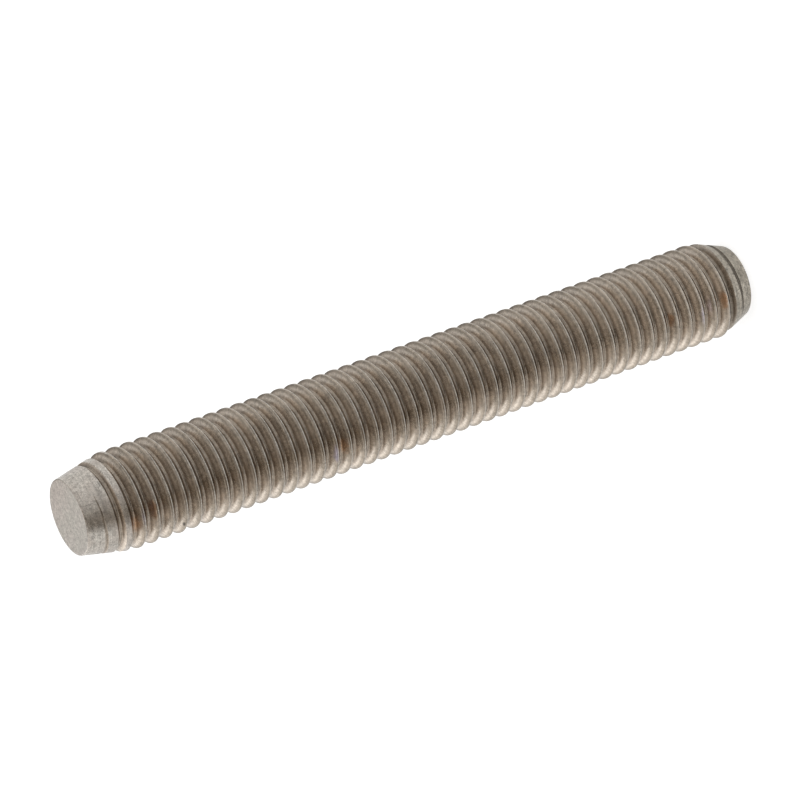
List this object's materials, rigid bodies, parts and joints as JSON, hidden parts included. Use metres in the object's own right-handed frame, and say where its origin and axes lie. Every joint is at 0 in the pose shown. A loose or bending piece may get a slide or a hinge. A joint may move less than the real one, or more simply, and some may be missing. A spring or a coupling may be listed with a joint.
{
  "type": "threaded stud",
  "caption": "Fully threaded steel stud with a right-hand metric thread, a long tapered point at one end and a short chamfer at the other.",
  "frame": {"origin": "centre of the foot's flat end face, which the stud stands on", "axes": "+Z along the stud's axis, from the foot to the tapered head; +X and +Y across it"},
  "size_m": [0.0098, 0.0098, 0.075],
  "materials": {
    "steel": "rolled stainless steel, satin, warm grey with a few brown tints"
  },
  "bodies": {
    "root": {"stud": "steel"}
  },
  "joints": []
}
